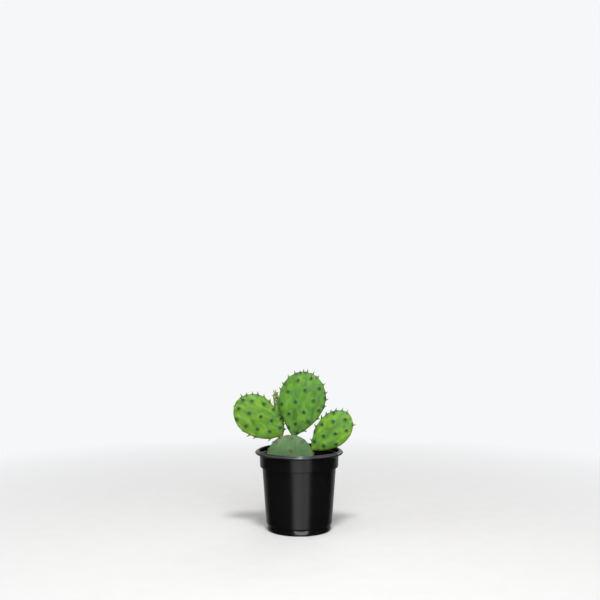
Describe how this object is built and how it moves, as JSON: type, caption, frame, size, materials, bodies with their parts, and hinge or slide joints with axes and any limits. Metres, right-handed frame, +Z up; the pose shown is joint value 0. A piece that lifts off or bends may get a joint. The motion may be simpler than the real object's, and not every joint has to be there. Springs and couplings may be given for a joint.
{
  "type": "potted paddle cactus",
  "caption": "Young paddle cactus with awl-shaped leaves, growing from an older pad planted in a round, black plastic nursery pot with a rolled lip.",
  "frame": {"origin": "centre of the pot's underside, on the surface that the pot stands on", "axes": "+Z up; the pads' broad faces look along -Y, which is the front, and +X is to the right of someone facing it"},
  "size_m": [0.148, 0.105, 0.1916],
  "materials": {
    "pot_plastic": "semi-gloss black injection-moulded plastic",
    "potting_mix": "dark, crumbly peat mix with pale grit",
    "old_pad_skin": "dull grey-green waxy skin",
    "young_pad_skin": "satin bright green skin, mottled",
    "leaf_skin": "satin olive green, reddish at the foot",
    "glochids": "fine orange-brown bristles"
  },
  "bodies": {
    "root": {"nursery_pot": "pot_plastic", "potting_soil": "potting_mix", "base_paddle": "old_pad_skin", "centre_paddle": "young_pad_skin", "left_paddle": "young_pad_skin", "right_paddle": "young_pad_skin", "rear_paddle": "young_pad_skin", "centre_paddle_leaf_01": "leaf_skin", "centre_paddle_leaf_02": "leaf_skin", "centre_paddle_leaf_03": "leaf_skin", "centre_paddle_leaf_04": "leaf_skin", "centre_paddle_leaf_05": "leaf_skin", "centre_paddle_leaf_06": "leaf_skin", "centre_paddle_leaf_07": "leaf_skin", "centre_paddle_leaf_08": "leaf_skin", "centre_paddle_leaf_09": "leaf_skin", "centre_paddle_leaf_10": "leaf_skin", "centre_paddle_leaf_11": "leaf_skin", "centre_paddle_leaf_12": "leaf_skin", "centre_paddle_leaf_13": "leaf_skin", "centre_paddle_leaf_14": "leaf_skin", "left_paddle_leaf_01": "leaf_skin", "left_paddle_leaf_02": "leaf_skin", "left_paddle_leaf_03": "leaf_skin", "left_paddle_leaf_04": "leaf_skin", "left_paddle_leaf_05": "leaf_skin", "left_paddle_leaf_06": "leaf_skin", "left_paddle_leaf_07": "leaf_skin", "left_paddle_leaf_08": "leaf_skin", "left_paddle_leaf_09": "leaf_skin", "left_paddle_leaf_10": "leaf_skin", "left_paddle_leaf_11": "leaf_skin", "left_paddle_leaf_12": "leaf_skin", "left_paddle_leaf_13": "leaf_skin", "left_paddle_leaf_14": "leaf_skin", "right_paddle_leaf_01": "leaf_skin", "right_paddle_leaf_02": "leaf_skin", "right_paddle_leaf_03": "leaf_skin", "right_paddle_leaf_04": "leaf_skin", "right_paddle_leaf_05": "leaf_skin", "right_paddle_leaf_06": "leaf_skin", "right_paddle_leaf_07": "leaf_skin", "right_paddle_leaf_08": "leaf_skin", "right_paddle_leaf_09": "leaf_skin", "right_paddle_leaf_10": "leaf_skin", "right_paddle_leaf_11": "leaf_skin", "right_paddle_leaf_12": "leaf_skin", "right_paddle_leaf_13": "leaf_skin", "rear_paddle_leaf_01": "leaf_skin", "rear_paddle_leaf_02": "leaf_skin", "rear_paddle_leaf_03": "leaf_skin", "rear_paddle_leaf_04": "leaf_skin", "rear_paddle_leaf_05": "leaf_skin", "rear_paddle_leaf_06": "leaf_skin", "rear_paddle_leaf_07": "leaf_skin", "rear_paddle_leaf_08": "leaf_skin", "rear_paddle_leaf_09": "leaf_skin", "rear_paddle_leaf_10": "leaf_skin", "rear_paddle_leaf_11": "leaf_skin", "rear_paddle_leaf_12": "leaf_skin"}
  },
  "joints": []
}
